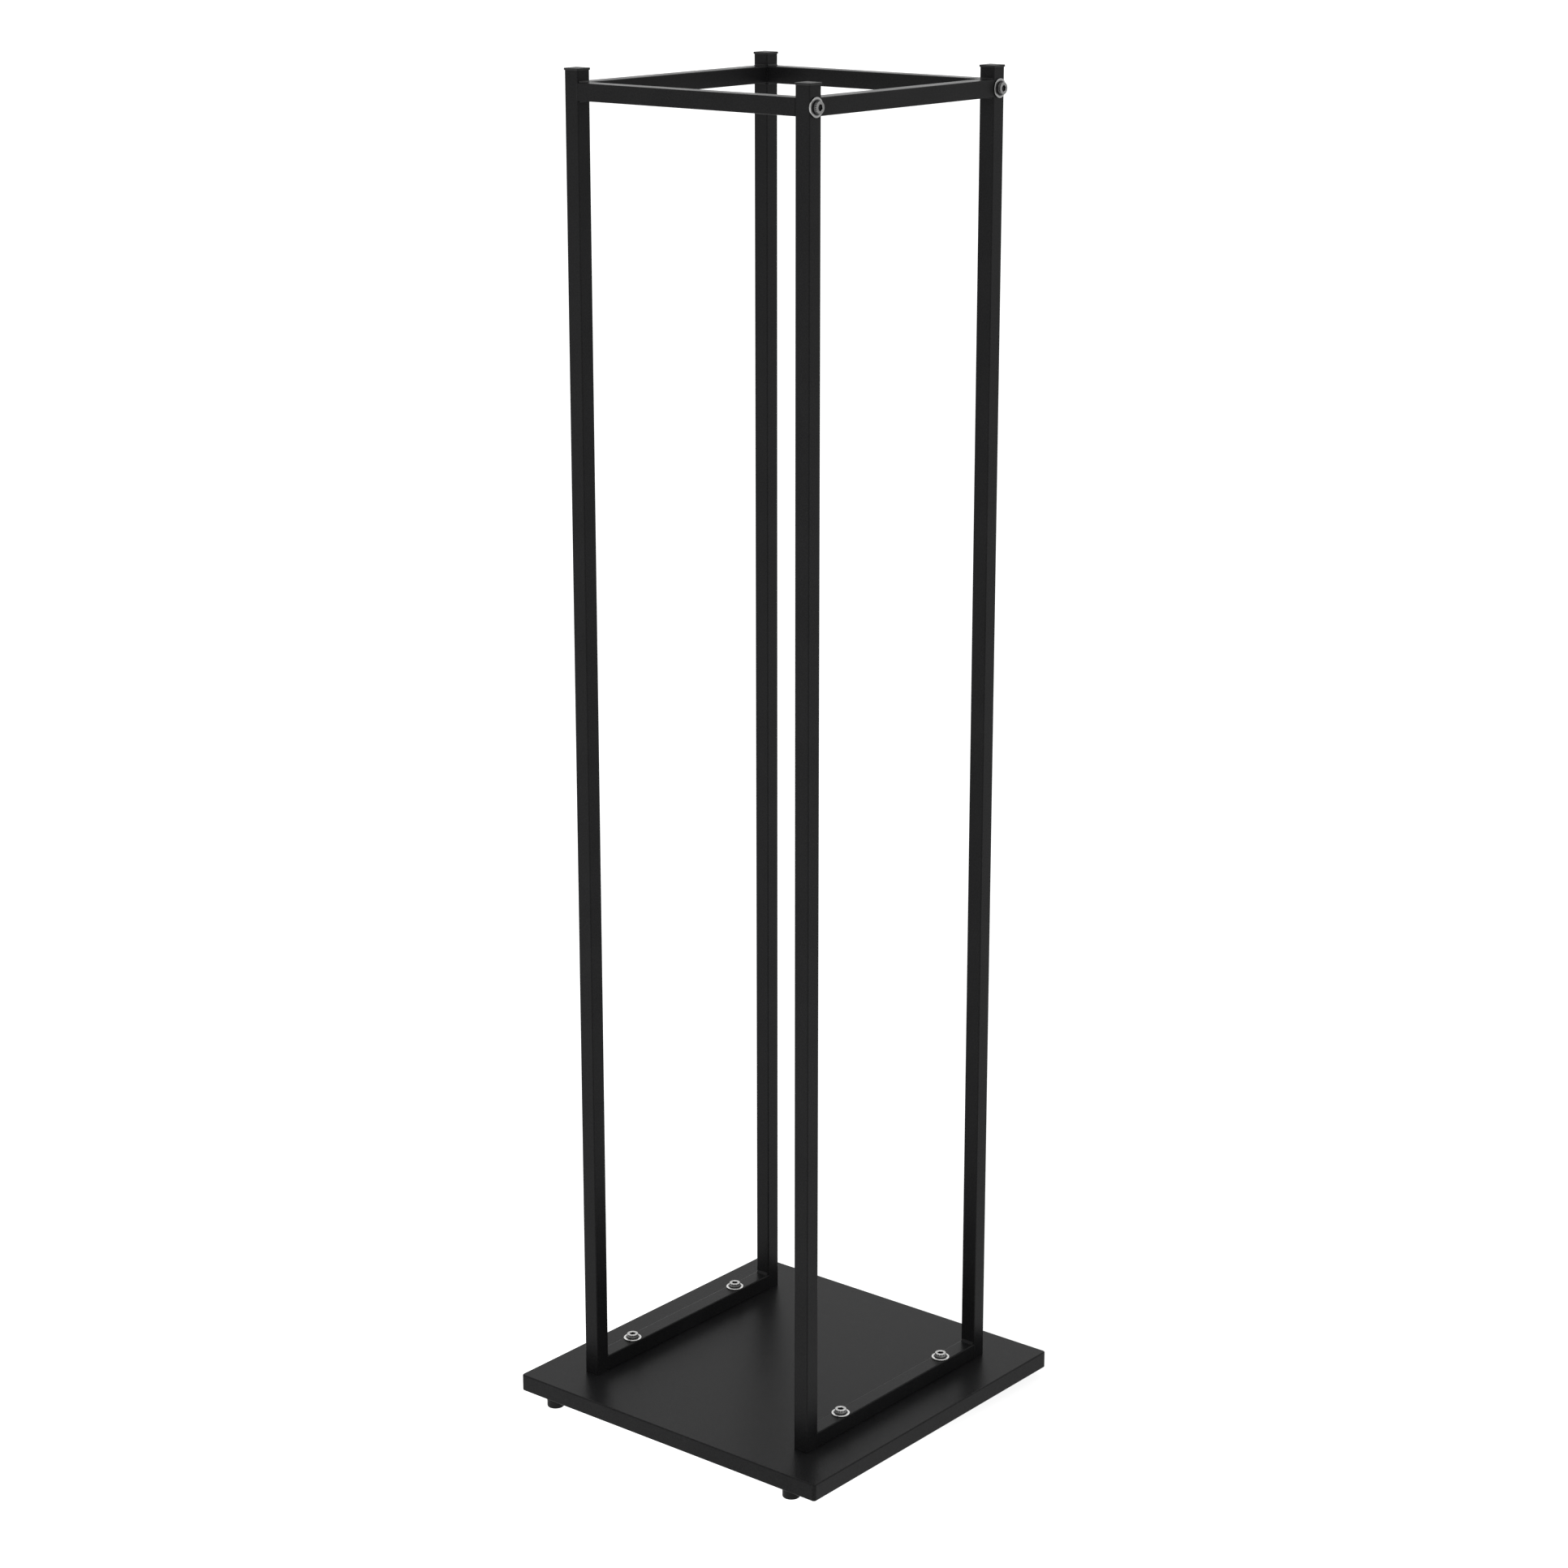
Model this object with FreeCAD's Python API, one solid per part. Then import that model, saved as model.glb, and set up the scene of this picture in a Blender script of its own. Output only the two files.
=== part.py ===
"""Indoor firewood rack: four square-tube posts on a folded sheet-steel base.

Origin: centre of the footprint on the floor.  +X runs along the front crossbar,
+Y to the rear, +Z up.  All sizes in millimetres.

Two welded side frames (posts, bottom rail, top rail) stand on the base tray and
are bolted down through their bottom rails.  A front and a rear crossbar tie the
side frames together at the top: they are welded to the left posts and held by
screws through the right posts.
"""
import FreeCAD
import Part
import math
import os

# ---- square tube and the frame made from it
TUBE = 15.0            # outside width of the square tube
TUBE_WALL = 1.5        # wall of the tube
TUBE_R = 1.0           # outside corner radius of the tube
FRAME_X = 265.0        # frame, outside to outside, along X
FRAME_Y = 265.0        # frame, outside to outside, along Y
RAIL_TOP_H = 1185.0    # top of the upper rails above the base
POST_PROUD = 10.0      # posts stand this far above the upper rails

# ---- base tray, folded from sheet
BASE_X = 350.0         # width of the tray
BASE_Y = 350.0         # depth of the tray
BASE_H = 16.0          # height of the folded edge
SHEET = 1.5            # sheet thickness
BASE_CORNER_R = 3.0    # vertical corner radius
BASE_EDGE_R = 1.2      # outside radius of the folds
RETURN_W = 24.0        # inward return flange, outer face to inner lip
MITRE_SLIT = 0.8       # open slit between the return flanges at the corners

# ---- screws that hold the frame
BOLT_D = 6.0           # thread, M6
BOLT_CLEAR = 0.6       # clearance hole minus thread diameter
HEAD_D = 10.5          # cylindrical head
HEAD_H = 3.8           # head height
HEAD_BEVEL = 0.6       # bevel round the top of the head
SOCKET_AF = 5.0        # hexagon socket across flats
SOCKET_DEPTH = 2.3     # hexagon socket depth
SHANK_TIP = 0.6        # bevel at the tip of the thread
WASHER_D = 16.5        # large washer outside diameter
WASHER_T = 1.6         # washer thickness
WASHER_CLEAR = 0.4     # washer bore minus thread diameter
NUT_AF = 10.0          # M6 nut across flats
NUT_H = 5.0            # M6 nut height
BASE_BOLT_SPAN = 150.0  # spacing of the two screws in each bottom rail
BASE_BOLT_L = 25.0     # thread length under the head
TOP_BOLT_L = 30.0      # thread length under the head

# ---- threaded plugs in the right ends of the crossbars
PLUG_L = 16.0          # plug length along the crossbar
PLUG_GAP = 0.1         # gap all round between plug and bore

# ---- end caps of the posts
CAP_LIP = 0.6          # flange overhang past the tube, each side
CAP_T = 2.2            # flange thickness at the crown
CAP_CROWN_R = 200.0    # radius of the slightly domed top
CAP_EDGE_R = 0.3       # flange edge radius
CAP_LEG_L = 9.0        # length of the leg inside the tube
CAP_LEG_WALL = 1.2     # wall of the leg
CAP_LEG_GAP = 0.1      # gap all round between leg and bore

# ---- feet
FOOT_D = 16.5          # diameter at the base tray
FOOT_TIP_D = 16.0      # diameter at the floor
FOOT_H = 9.0           # height of the foot
FOOT_EDGE_R = 1.0      # radius at the floor
FOOT_SPAN_X = 282.0    # spacing of the feet along X
FOOT_SPAN_Y = 330.0    # spacing of the feet along Y
FOOT_BORE_D = 8.4      # counterbore from below for the screw head
FOOT_BORE_DEPTH = 5.0  # depth of the counterbore
FOOT_SCREW_D = 4.0     # thread, M4
FOOT_SCREW_CLEAR = 0.4  # clearance hole minus thread diameter
FOOT_SCREW_L = 10.0    # thread length under the head
FOOT_HEAD_D = 7.6      # pan head diameter
FOOT_HEAD_H = 2.6      # pan head height
FOOT_HEAD_R = 1.0      # pan head edge radius
FOOT_SLOT_AF = 2.5     # hexagon socket across flats
FOOT_SLOT_DEPTH = 1.4  # hexagon socket depth
FOOT_NUT_AF = 7.0      # M4 nut across flats
FOOT_NUT_H = 3.2       # M4 nut height

# ---- weld fillets between the tubes
WELD_LEG = 1.6         # leg length of the fillet
WELD_DIP = 0.3         # how far the face of the fillet is drawn in

# ---- derived levels and positions
BASE_BOTTOM = FOOT_H
BASE_TOP = BASE_BOTTOM + BASE_H
RAIL_TOP = BASE_TOP + RAIL_TOP_H
RAIL_MID = RAIL_TOP - TUBE / 2
POST_L = RAIL_TOP_H + POST_PROUD
POST_TOP = BASE_TOP + POST_L
BORE = TUBE - 2 * TUBE_WALL
POST_X = (FRAME_X - TUBE) / 2
POST_Y = (FRAME_Y - TUBE) / 2
RAIL_Y_L = FRAME_Y - 2 * TUBE
CROSS_X_L = FRAME_X - 2 * TUBE
SIDES = (("left", -1), ("right", 1))
ENDS = (("front", -1), ("rear", 1))

X_DIR = FreeCAD.Vector(1, 0, 0)
Y_DIR = FreeCAD.Vector(0, 1, 0)
Z_DIR = FreeCAD.Vector(0, 0, 1)


def vec(x, y, z):
    return FreeCAD.Vector(x, y, z)


def centred_box(sx, sy, z0, z1, x=0.0, y=0.0):
    """Box of sx by sy about (x, y), from z0 up to z1."""
    return Part.makeBox(sx, sy, z1 - z0, vec(x - sx / 2, y - sy / 2, z0))


def edges_along(shape, direction):
    """Straight edges of a shape parallel to a direction."""
    found = []
    for edge in shape.Edges:
        span = edge.valueAt(edge.LastParameter) - edge.valueAt(edge.FirstParameter)
        if span.Length > 1e-6 and abs(span.normalize().dot(direction)) > 0.999:
            found.append(edge)
    return found


def edges_at_height(shape, z):
    """Edges that lie wholly at one height."""
    found = []
    for edge in shape.Edges:
        box = edge.BoundBox
        if abs(box.ZMin - z) < 1e-4 and abs(box.ZMax - z) < 1e-4:
            found.append(edge)
    return found


def square_tube(length):
    """Square tube standing on z = 0, with rounded outside corners."""
    outer = centred_box(TUBE, TUBE, 0, length)
    outer = outer.makeFillet(TUBE_R, edges_along(outer, Z_DIR))
    return outer.cut(centred_box(BORE, BORE, -1, length + 1))


def lay_along(shape, direction):
    """Turn a shape that stands on z = 0 so that +Z points along a direction."""
    turned = shape.copy()
    turned.Placement = FreeCAD.Placement(vec(0, 0, 0), FreeCAD.Rotation(Z_DIR, direction))
    return turned


def moved(shape, x, y, z):
    copy = shape.copy()
    copy.translate(vec(x, y, z))
    return copy


def hex_prism(across_flats, z0, z1, x=0.0, y=0.0):
    """Upright hexagonal prism with two corners along X."""
    corner = across_flats / math.sqrt(3)
    points = []
    for step in range(7):
        angle = math.radians(60 * step)
        points.append(vec(x + corner * math.cos(angle), y + corner * math.sin(angle), z0))
    face = Part.Face(Part.makePolygon(points))
    return face.extrude(vec(0, 0, z1 - z0))


def socket_screw(length):
    """Screw with its head above z = 0 and its thread below."""
    head = Part.makeCylinder(HEAD_D / 2, HEAD_H)
    head = head.makeChamfer(HEAD_BEVEL, edges_at_height(head, HEAD_H))
    head = head.cut(hex_prism(SOCKET_AF, HEAD_H - SOCKET_DEPTH, HEAD_H + 1))
    shank = Part.makeCylinder(BOLT_D / 2, length, vec(0, 0, -length))
    shank = shank.makeChamfer(SHANK_TIP, edges_at_height(shank, -length))
    return head.fuse(shank).removeSplitter()


def flat_washer():
    """Washer lying on z = 0."""
    bore_d = BOLT_D + WASHER_CLEAR
    ring = Part.makeCylinder(WASHER_D / 2, WASHER_T)
    return ring.cut(Part.makeCylinder(bore_d / 2, 4 * WASHER_T, vec(0, 0, -WASHER_T)))


def hex_nut(across_flats, height, thread_d):
    """Nut standing on z = 0, its corners rounded off by a cone at both faces."""
    body = hex_prism(across_flats, 0, height)
    corner = across_flats / math.sqrt(3)
    drop = (corner - across_flats / 2 * 0.96) * math.tan(math.radians(30))
    upper = Part.makeCone(corner, across_flats / 2 * 0.96, drop, vec(0, 0, height - drop))
    lower = Part.makeCone(across_flats / 2 * 0.96, corner, drop)
    middle = Part.makeCylinder(corner, height - 2 * drop, vec(0, 0, drop))
    body = body.common(lower.fuse(middle).fuse(upper))
    return body.cut(Part.makeCylinder(thread_d / 2, 3 * height, vec(0, 0, -height)))


def clearance_bar(diameter, length, start, direction):
    """Round bar used to drill a hole."""
    return Part.makeCylinder(diameter / 2, length, start, direction)


def base_tray():
    """Tray open below: top sheet, four folded sides and an inward return flange."""
    outer = centred_box(BASE_X, BASE_Y, BASE_BOTTOM, BASE_TOP)
    outer = outer.makeFillet(BASE_CORNER_R, edges_along(outer, Z_DIR))
    rims = edges_at_height(outer, BASE_TOP) + edges_at_height(outer, BASE_BOTTOM)
    outer = outer.makeFillet(BASE_EDGE_R, rims)
    inside = centred_box(BASE_X - 2 * SHEET, BASE_Y - 2 * SHEET, BASE_BOTTOM + SHEET, BASE_TOP - SHEET)
    inside = inside.makeFillet(BASE_CORNER_R - SHEET, edges_along(inside, Z_DIR))
    window = centred_box(BASE_X - 2 * RETURN_W, BASE_Y - 2 * RETURN_W, BASE_BOTTOM - 1, BASE_BOTTOM + 2 * SHEET)
    tray = outer.cut(inside).cut(window)
    slit_l = (RETURN_W - BASE_CORNER_R - SHEET) * math.sqrt(2) + MITRE_SLIT
    for sx in (-1, 1):
        for sy in (-1, 1):
            slit = Part.makeBox(slit_l, MITRE_SLIT, 4 * SHEET, vec(-slit_l, -MITRE_SLIT / 2, -2 * SHEET))
            slit.rotate(vec(0, 0, 0), Z_DIR, math.degrees(math.atan2(sy, sx)))
            corner_x = sx * (BASE_X / 2 - BASE_CORNER_R - SHEET)
            corner_y = sy * (BASE_Y / 2 - BASE_CORNER_R - SHEET)
            slit.translate(vec(corner_x, corner_y, BASE_BOTTOM + SHEET / 2))
            tray = tray.cut(slit)
    for _, sx in SIDES:
        for _, sy in ENDS:
            bolt_at = vec(sx * POST_X, sy * BASE_BOLT_SPAN / 2, BASE_TOP - 2 * SHEET)
            tray = tray.cut(clearance_bar(BOLT_D + BOLT_CLEAR, 4 * SHEET, bolt_at, Z_DIR))
            foot_at = vec(sx * FOOT_SPAN_X / 2, sy * FOOT_SPAN_Y / 2, BASE_BOTTOM - SHEET)
            tray = tray.cut(clearance_bar(FOOT_SCREW_D + FOOT_SCREW_CLEAR, 3 * SHEET, foot_at, Z_DIR))
    return tray


def post(sx, sy):
    """Post; the right ones have a cross hole for the crossbar screw."""
    tube = moved(square_tube(POST_L), sx * POST_X, sy * POST_Y, BASE_TOP)
    if sx < 0:
        return tube
    start = vec(sx * POST_X - TUBE, sy * POST_Y, RAIL_MID)
    return tube.cut(clearance_bar(BOLT_D + BOLT_CLEAR, 2 * TUBE, start, X_DIR))


def side_rail(sx, z_mid):
    """Rail of a side frame, butted between its two posts."""
    return moved(lay_along(square_tube(RAIL_Y_L), Y_DIR), sx * POST_X, -RAIL_Y_L / 2, z_mid)


def bottom_rail(sx):
    """Rail lying on the base, drilled for the two screws."""
    rail = side_rail(sx, BASE_TOP + TUBE / 2)
    for _, sy in ENDS:
        start = vec(sx * POST_X, sy * BASE_BOLT_SPAN / 2, BASE_TOP - TUBE / 2)
        rail = rail.cut(clearance_bar(BOLT_D + BOLT_CLEAR, 2 * TUBE, start, Z_DIR))
    return rail


def crossbar(sy):
    """Crossbar butted between the posts of the two side frames."""
    return moved(lay_along(square_tube(CROSS_X_L), X_DIR), -CROSS_X_L / 2, sy * POST_Y, RAIL_MID)


def crossbar_plug(sy):
    """Threaded square plug in the right end of a crossbar."""
    side = BORE - 2 * PLUG_GAP
    block = centred_box(side, side, 0, PLUG_L)
    block = block.cut(Part.makeCylinder(BOLT_D / 2, 3 * PLUG_L, vec(0, 0, -PLUG_L)))
    return moved(lay_along(block, X_DIR), CROSS_X_L / 2 - PLUG_L, sy * POST_Y, RAIL_MID)


def end_cap():
    """Domed cap on z = 0 with a hollow square leg below."""
    side = TUBE + 2 * CAP_LIP
    flange = centred_box(side, side, 0, CAP_T)
    flange = flange.makeFillet(TUBE_R, edges_along(flange, Z_DIR))
    flange = flange.common(Part.makeSphere(CAP_CROWN_R, vec(0, 0, CAP_T - CAP_CROWN_R)))
    flange = flange.makeFillet(CAP_EDGE_R, edges_at_height(flange, 0))
    leg_side = BORE - 2 * CAP_LEG_GAP
    leg = centred_box(leg_side, leg_side, -CAP_LEG_L, 0)
    hollow = leg_side - 2 * CAP_LEG_WALL
    leg = leg.cut(centred_box(hollow, hollow, -CAP_LEG_L - 1, 0))
    return flange.fuse(leg).removeSplitter()


def foot():
    """Round foot with its top on z = 0, counterbored from below."""
    body = Part.makeCone(FOOT_TIP_D / 2, FOOT_D / 2, FOOT_H, vec(0, 0, -FOOT_H))
    body = body.makeFillet(FOOT_EDGE_R, edges_at_height(body, -FOOT_H))
    body = body.cut(Part.makeCylinder(FOOT_BORE_D / 2, FOOT_BORE_DEPTH, vec(0, 0, -FOOT_H)))
    hole_d = FOOT_SCREW_D + FOOT_SCREW_CLEAR
    return body.cut(Part.makeCylinder(hole_d / 2, 2 * FOOT_H, vec(0, 0, -FOOT_H)))


def foot_screw():
    """Pan-head screw pointing up, the underside of its head on z = 0."""
    head = Part.makeCylinder(FOOT_HEAD_D / 2, FOOT_HEAD_H, vec(0, 0, -FOOT_HEAD_H))
    head = head.makeFillet(FOOT_HEAD_R, edges_at_height(head, -FOOT_HEAD_H))
    head = head.cut(hex_prism(FOOT_SLOT_AF, -FOOT_HEAD_H - 1, FOOT_SLOT_DEPTH - FOOT_HEAD_H))
    return head.fuse(Part.makeCylinder(FOOT_SCREW_D / 2, FOOT_SCREW_L)).removeSplitter()


def weld(corner, along, up):
    """Hollow-faced fillet: it reaches out along a bar and up (1) or down (-1) a post."""
    rise = vec(0, 0, up)
    toe = corner + along * WELD_LEG
    crown = corner + rise * WELD_LEG
    middle = (toe + crown) * 0.5 - (along + rise) * WELD_DIP
    half = TUBE / 2 - TUBE_R
    across = along.cross(Z_DIR)
    face = Part.Arc(toe, middle, crown).toShape()
    outline = Part.Wire([Part.makeLine(corner, toe), face, Part.makeLine(crown, corner)])
    bead = Part.Face(outline).extrude(across * (2 * half))
    bead.translate(across * -half)
    return bead


def side_welds(sx):
    """Fillets of one side frame: above the bottom rail, above and below the top rail."""
    beads = []
    for _, sy in ENDS:
        along = vec(0, -sy, 0)
        y_post = sy * (FRAME_Y / 2 - TUBE)
        for z, up in ((BASE_TOP + TUBE, 1), (RAIL_TOP, 1), (RAIL_TOP - TUBE, -1)):
            beads.append(weld(vec(sx * POST_X, y_post, z), along, up))
    return Part.makeCompound(beads)


def crossbar_welds():
    """Fillets above and below the left end of each crossbar."""
    beads = []
    for _, sy in ENDS:
        for z, up in ((RAIL_TOP, 1), (RAIL_TOP - TUBE, -1)):
            beads.append(weld(vec(TUBE - FRAME_X / 2, sy * POST_Y, z), X_DIR, up))
    return Part.makeCompound(beads)


nodes = {}
nodes["base_tray"] = base_tray()

for side, sx in SIDES:
    nodes["bottom_rail_" + side] = bottom_rail(sx)
    nodes["top_rail_" + side] = side_rail(sx, RAIL_MID)
    nodes["welds_" + side] = side_welds(sx)
    for end, sy in ENDS:
        place = side + "_" + end
        nodes["post_" + place] = post(sx, sy)
        nodes["end_cap_" + place] = moved(end_cap(), sx * POST_X, sy * POST_Y, POST_TOP)

        bolt_x = sx * POST_X
        bolt_y = sy * BASE_BOLT_SPAN / 2
        rail_face = BASE_TOP + TUBE
        nodes["base_washer_" + place] = moved(flat_washer(), bolt_x, bolt_y, rail_face)
        screw = socket_screw(BASE_BOLT_L)
        nodes["base_screw_" + place] = moved(screw, bolt_x, bolt_y, rail_face + WASHER_T)
        nut = hex_nut(NUT_AF, NUT_H, BOLT_D)
        nodes["base_nut_" + place] = moved(nut, bolt_x, bolt_y, BASE_TOP - SHEET - NUT_H)

        foot_x = sx * FOOT_SPAN_X / 2
        foot_y = sy * FOOT_SPAN_Y / 2
        nodes["foot_" + place] = moved(foot(), foot_x, foot_y, BASE_BOTTOM)
        seat_z = BASE_BOTTOM - FOOT_H + FOOT_BORE_DEPTH
        nodes["foot_screw_" + place] = moved(foot_screw(), foot_x, foot_y, seat_z)
        nut = hex_nut(FOOT_NUT_AF, FOOT_NUT_H, FOOT_SCREW_D)
        nodes["foot_nut_" + place] = moved(nut, foot_x, foot_y, BASE_BOTTOM + SHEET)

for end, sy in ENDS:
    nodes["crossbar_" + end] = crossbar(sy)
    nodes["crossbar_plug_" + end] = crossbar_plug(sy)
    face_x = FRAME_X / 2
    washer = lay_along(flat_washer(), X_DIR)
    nodes["top_washer_" + end] = moved(washer, face_x, sy * POST_Y, RAIL_MID)
    screw = lay_along(socket_screw(TOP_BOLT_L), X_DIR)
    nodes["top_screw_" + end] = moved(screw, face_x + WASHER_T, sy * POST_Y, RAIL_MID)
nodes["crossbar_welds"] = crossbar_welds()

os.makedirs("parts", exist_ok=True)
for name, shape in nodes.items():
    shape.exportStep("parts/" + name + ".step")
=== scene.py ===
"""Indoor firewood rack in black powder-coated square tube on a folded steel tray."""
import bpy
import numpy as np
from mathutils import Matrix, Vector


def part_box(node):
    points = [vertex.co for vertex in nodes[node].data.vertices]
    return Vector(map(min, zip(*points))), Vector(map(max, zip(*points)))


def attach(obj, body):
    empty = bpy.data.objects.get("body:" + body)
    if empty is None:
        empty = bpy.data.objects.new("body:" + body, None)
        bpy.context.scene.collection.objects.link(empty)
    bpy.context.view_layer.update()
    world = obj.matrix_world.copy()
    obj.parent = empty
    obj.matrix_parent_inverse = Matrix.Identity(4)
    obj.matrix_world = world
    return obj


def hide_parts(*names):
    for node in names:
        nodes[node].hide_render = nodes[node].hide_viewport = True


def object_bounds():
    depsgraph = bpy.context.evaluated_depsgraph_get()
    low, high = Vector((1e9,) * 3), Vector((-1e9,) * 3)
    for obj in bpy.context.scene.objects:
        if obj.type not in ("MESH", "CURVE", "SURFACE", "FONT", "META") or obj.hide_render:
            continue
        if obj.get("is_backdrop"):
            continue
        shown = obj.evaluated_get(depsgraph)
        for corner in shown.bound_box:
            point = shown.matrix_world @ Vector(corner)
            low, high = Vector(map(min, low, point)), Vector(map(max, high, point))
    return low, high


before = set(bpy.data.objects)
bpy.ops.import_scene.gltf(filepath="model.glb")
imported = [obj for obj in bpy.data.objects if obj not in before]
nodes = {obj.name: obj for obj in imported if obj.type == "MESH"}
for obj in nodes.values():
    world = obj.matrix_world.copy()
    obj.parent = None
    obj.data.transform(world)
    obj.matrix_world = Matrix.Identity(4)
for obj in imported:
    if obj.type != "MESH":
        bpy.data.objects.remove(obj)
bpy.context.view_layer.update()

MM = 0.001


# ---------------------------------------------------------------- base tray
# A square tray folded from 1.5 mm steel sheet, open below, its corner seams welded and ground.
# It is sprayed with black powder and baked, which leaves a satin skin with a fine orange peel.

class Varying:
    """A number that varies over a surface. Sums and products of it add Math nodes."""

    def __init__(self, finish, socket):
        self.finish = finish
        self.socket = socket

    def joined(self, operation, first, second):
        node = self.finish.node("ShaderNodeMath", {"operation": operation}, {0: first, 1: second})
        return Varying(self.finish, node.outputs[0])

    def __add__(self, other):
        return self.joined("ADD", self, other)

    def __sub__(self, other):
        return self.joined("SUBTRACT", self, other)

    def __rsub__(self, other):
        return self.joined("SUBTRACT", other, self)

    def __mul__(self, other):
        return self.joined("MULTIPLY", self, other)

    __radd__ = __add__
    __rmul__ = __mul__


class Finish:
    """A material for one finish of the rack, and the node tree that draws it."""

    def __init__(self, name):
        self.material = bpy.data.materials.new(name)
        self.material.use_nodes = True
        self.tree = self.material.node_tree
        self.tree.nodes.clear()

    def node(self, kind, settings, sockets):
        """Adds a node: first its settings, a ramp's stops among them, then its sockets."""
        node = self.tree.nodes.new(kind)
        for setting, value in settings.items():
            if setting == "stops":
                for element, (place, level) in zip(node.color_ramp.elements, value):
                    element.position = place
                    element.color = (level, level, level, 1.0)
            else:
                setattr(node, setting, value)
        for socket, value in sockets.items():
            if isinstance(value, Varying):
                value = value.socket
            if isinstance(value, bpy.types.NodeSocket):
                self.tree.links.new(value, node.inputs[socket])
            else:
                node.inputs[socket].default_value = value
        return node

    def placed(self, stretch=(1.0, 1.0, 1.0)):
        """Object coordinates, stretched along each axis."""
        place = self.node("ShaderNodeTexCoord", {}, {})
        return self.node("ShaderNodeMapping", {}, {
            "Vector": place.outputs["Object"], "Scale": stretch}).outputs[0]

    def noise(self, size, detail=2.0, stretch=(1.0, 1.0, 1.0)):
        """Noise whose largest lumps are about size metres across."""
        node = self.node("ShaderNodeTexNoise", {}, {
            "Vector": self.placed(stretch), "Scale": 1.0 / size, "Detail": detail})
        return Varying(self, node.outputs["Fac"])

    def pits(self, size):
        """Distance to the nearest of many scattered points about size metres apart."""
        node = self.node("ShaderNodeTexVoronoi", {}, {
            "Vector": self.placed(), "Scale": 1.0 / size})
        return Varying(self, node.outputs["Distance"])

    def stepped(self, value, low, high):
        """0 below low, 1 above high, straight between."""
        ramp = self.node("ShaderNodeValToRGB", {"stops": ((low, 0.0), (high, 1.0))}, {"Fac": value})
        return Varying(self, ramp.outputs["Color"])

    def attribute(self, name):
        """A value that the piece's own mesh carries."""
        node = self.node("ShaderNodeAttribute", {"attribute_name": name}, {})
        return Varying(self, node.outputs["Fac"])

    def blend(self, factor, *colours):
        """Mix of two colours, each a triple or another mix."""
        first, second = [(*colour, 1.0) if isinstance(colour, tuple) else colour
                         for colour in colours]
        node = self.node("ShaderNodeMix", {"data_type": "RGBA"}, {
            0: factor, 6: first, 7: second})
        return node.outputs[2]

    def relief(self, height, depth):
        """Bump from a height between 0 and 1 that stands for depth metres."""
        return self.node("ShaderNodeBump", {}, {
            "Height": height, "Strength": 1.0, "Distance": depth}).outputs[0]

    def skin(self, sockets):
        """The surface shader, joined to the output."""
        shader = self.node("ShaderNodeBsdfPrincipled", {}, sockets)
        self.node("ShaderNodeOutputMaterial", {}, {"Surface": shader.outputs[0]})
        return self.material


POWDER_BLACK = (0.003, 0.003, 0.0032)
POWDER_BLACK_HIGH = (0.0095, 0.0095, 0.0098)
POWDER_IOR = 1.5
POWDER_SPECULAR = 0.07
PEEL = 1.05 * MM
PEEL_DEPTH = 0.10 * MM
PEEL_ROUGHNESS = 0.10
GRAIN = 0.28 * MM
MOTTLE = 45 * MM
MOTTLE_ROUGHNESS = 0.08
TONE_SPAN = (0.35, 0.65)
RUB = 11 * MM
RUB_STRETCH = (1.0, 1.0, 0.35)
RUB_SPAN = (0.58, 0.72)
RUB_POLISH = 0.03
TRAY_ROUGHNESS = 0.34


def powder_coat(name, roughness):
    """Satin black powder: pinhead orange peel, slow mottling and faint handling marks."""
    coat = Finish(name)
    peel = coat.noise(PEEL, 3.0)
    grain = coat.noise(GRAIN, 1.0)
    mottle = coat.noise(MOTTLE, 3.0)
    rub = coat.stepped(coat.noise(RUB, 4.0, RUB_STRETCH), *RUB_SPAN)
    tone = coat.stepped(peel * 0.6 + grain * 0.2 + mottle * 0.2, *TONE_SPAN)
    rough = roughness + (mottle - 0.5) * MOTTLE_ROUGHNESS + (peel - 0.5) * PEEL_ROUGHNESS
    return coat.skin({
        "Base Color": coat.blend(tone, POWDER_BLACK, POWDER_BLACK_HIGH),
        "Roughness": rough - rub * RUB_POLISH,
        "Normal": coat.relief(peel * 0.75 + grain * 0.25, PEEL_DEPTH),
        "IOR": POWDER_IOR,
        "Specular IOR Level": POWDER_SPECULAR})


tray_coat = powder_coat("tray_powder_coat", TRAY_ROUGHNESS)


def dress(node_name, material):
    """Gives a node of the frame its finish."""
    for holder in nodes[node_name].material_slots:
        holder.material = material


dress("base_tray", tray_coat)


# ---------------------------------------------------------------- feet
# Four round feet moulded in black rubber, slightly tapered, with a counterbore from below.
# Each is held under the tray's return flange by a pan-head screw and a nut.

PLACES = [side + "_" + end for side in ("left", "right") for end in ("front", "rear")]
FOOT_ROUNDING = 1.2 * MM
FOOT_WAIST = 0.12 * MM
FOOT_BORE_R = 4.2 * MM
FOOT_BORE_DEPTH = 5.0 * MM
FOOT_HOLE_R = 2.2 * MM
FOOT_TAPER = 0.25 * MM
FOOT_LEAD = 0.5 * MM
FOOT_SIDE_RINGS = 9
RUBBER_GRAIN = 0.5 * MM
RUBBER_CLOUD = 6 * MM
RUBBER_BLACK = (0.003, 0.003, 0.003)
RUBBER_BLOOM = (0.009, 0.009, 0.0088)
RUBBER_ROUGHNESS = 0.55
RUBBER_SPECULAR = 0.10
RUBBER_RELIEF = 0.03 * MM
AROUND = 96


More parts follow.
